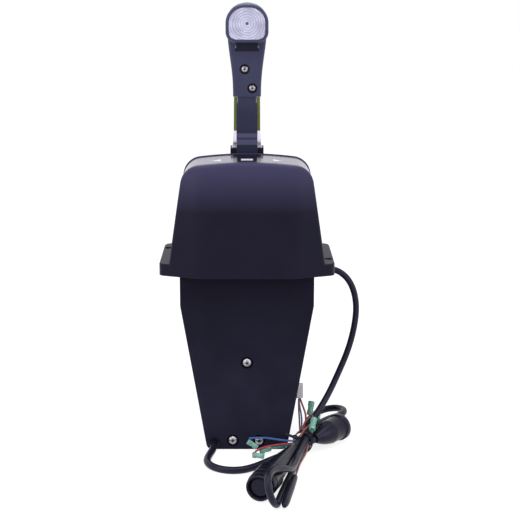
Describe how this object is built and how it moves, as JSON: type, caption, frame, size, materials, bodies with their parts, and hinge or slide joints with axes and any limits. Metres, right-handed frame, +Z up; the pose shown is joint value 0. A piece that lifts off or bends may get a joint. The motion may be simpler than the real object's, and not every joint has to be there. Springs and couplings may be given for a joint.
{
  "type": "boat throttle control lever",
  "caption": "Deck-mounted single-lever boat throttle and shift control with a side lever, a housing on a flange, a lower mechanism box, a trim lead and a folded wiring harness.",
  "frame": {"origin": "on the floor that the lower box stands on, under the middle of the deck flange", "axes": "+Z up; +X across the lever's swing, towards reverse; -X is forward; +Y towards the side that carries the lever"},
  "size_m": [0.2089, 0.2687, 0.4527],
  "materials": {
    "housing": "fine matte moulded texture",
    "top_plate": "polished",
    "white_mark": "printed marks",
    "box_paint": "fine textured powder coat",
    "zinc_steel": "zinc plated",
    "frame_steel": "zinc plated sheet",
    "gear_steel": "machined",
    "chrome": "bright chrome plate",
    "lime": "satin lime trim",
    "handle": "satin dark grey",
    "grip_disc": "spun",
    "hub": "satin black",
    "brass": "plain",
    "nylon": "plain",
    "switch_case": "plain",
    "block_nylon": "plain",
    "cable_black": "satin PVC",
    "plug_black": "satin rubber",
    "tie_black": "plain",
    "wire_blue": "PVC",
    "wire_red": "PVC",
    "wire_green": "PVC",
    "wire_brown": "PVC",
    "sleeve_green": "clear green vinyl",
    "connector_white": "nylon"
  },
  "bodies": {
    "root": {"base_flange": "housing", "near_cheek": "housing", "far_cheek": "housing", "top_band": "housing", "indicator_plate": "top_plate", "indicator_marks": "white_mark", "lower_cover_near": "box_paint", "lower_cover_far": "box_paint", "lower_cover_screws": "zinc_steel", "flange_side_screws": "switch_case", "frame_plate": "frame_steel", "frame_screws": "zinc_steel", "cover_standoffs": "brass", "frame_bush": "nylon", "hub_bush": "nylon", "detent_spring": "gear_steel", "neutral_switch": "switch_case", "friction_shoe": "nylon", "friction_screw": "zinc_steel", "shift_pivot_stud": "gear_steel", "throttle_cable_block": "block_nylon", "shift_cable_block": "block_nylon", "harness_grommet": "plug_black", "lead_gland": "plug_black", "trim_lead": "cable_black", "harness_lead": "cable_black", "harness_hank": "cable_black", "hank_tie": "tie_black", "main_plug": "plug_black", "plug_boot": "plug_black", "trim_wire_blue": "wire_blue", "trim_wire_red": "wire_red", "trim_wire_green": "wire_green", "connector_wire": "wire_red", "brown_wire": "wire_brown", "wire_boot": "cable_black", "bullet_sleeves": "sleeve_green", "white_connector": "connector_white"},
    "lever": {"main_shaft": "gear_steel", "drive_gear": "gear_steel", "throttle_crank": "gear_steel", "detent_disc": "gear_steel", "retaining_ring": "gear_steel", "lever_hub": "hub", "hub_cover": "hub", "lever_arm": "chrome", "edge_strips": "lime", "handle_inner_shell": "handle", "handle_outer_shell": "handle", "handle_screws": "zinc_steel", "grip": "handle", "grip_end_cap": "grip_disc"},
    "lock_trigger": {"lock_trigger": "hub"},
    "trim_rocker": {"trim_rocker": "hub"},
    "free_throttle_button": {"free_throttle_button": "hub"},
    "shift_arm": {"shift_gear_arm": "gear_steel"},
    "throttle_swivel": {"throttle_swivel": "brass"},
    "shift_swivel": {"shift_swivel": "brass"},
    "switch_plunger": {"switch_plunger": "nylon"}
  },
  "joints": [
    {"name": "lever_swing", "type": "hinge", "parent": "root", "child": "lever", "pos_m": [0, 0.04, 0.256], "axis": [0, 1, 0], "range_deg": [-85, 65]},
    {"name": "shift_arm_turn", "type": "hinge", "parent": "root", "child": "shift_arm", "pos_m": [0, 0.007, 0.201], "axis": [0, 1, 0], "range_deg": [-31, 40]},
    {"name": "throttle_swivel_turn", "type": "hinge", "parent": "lever", "child": "throttle_swivel", "pos_m": [0, -0.028, 0.216], "axis": [0, 1, 0], "range_deg": [-66, 86]},
    {"name": "shift_swivel_turn", "type": "hinge", "parent": "shift_arm", "child": "shift_swivel", "pos_m": [0, 0.018, 0.139], "axis": [0, 1, 0], "range_deg": [-40, 31]},
    {"name": "lock_trigger_pull", "type": "slide", "parent": "lever", "child": "lock_trigger", "axis": [0, 0, 1], "range_m": [0, 0.004], "stiffness_N_per_m": 500, "springref_m": -0.001},
    {"name": "trim_rocker_tilt", "type": "hinge", "parent": "lever", "child": "trim_rocker", "pos_m": [0.0165, -0.028, 0.432], "axis": [0, 1, 0], "range_deg": [-8, 8], "stiffness_Nm_per_rad": 0.3},
    {"name": "free_throttle_press", "type": "slide", "parent": "lever", "child": "free_throttle_button", "axis": [0, -1, 0], "range_m": [0, 0.005], "stiffness_N_per_m": 400, "springref_m": -0.001},
    {"name": "switch_plunger_press", "type": "slide", "parent": "root", "child": "switch_plunger", "axis": [1, 0, 0], "range_m": [0, 0.0012], "stiffness_N_per_m": 300, "springref_m": -0.0005}
  ],
  "couplings": [
    {"joint": "shift_arm_turn", "follows": "lever_swing", "ratio": -0.46667},
    {"joint": "throttle_swivel_turn", "follows": "lever_swing", "ratio": -1},
    {"joint": "shift_swivel_turn", "follows": "lever_swing", "ratio": 0.46667}
  ]
}
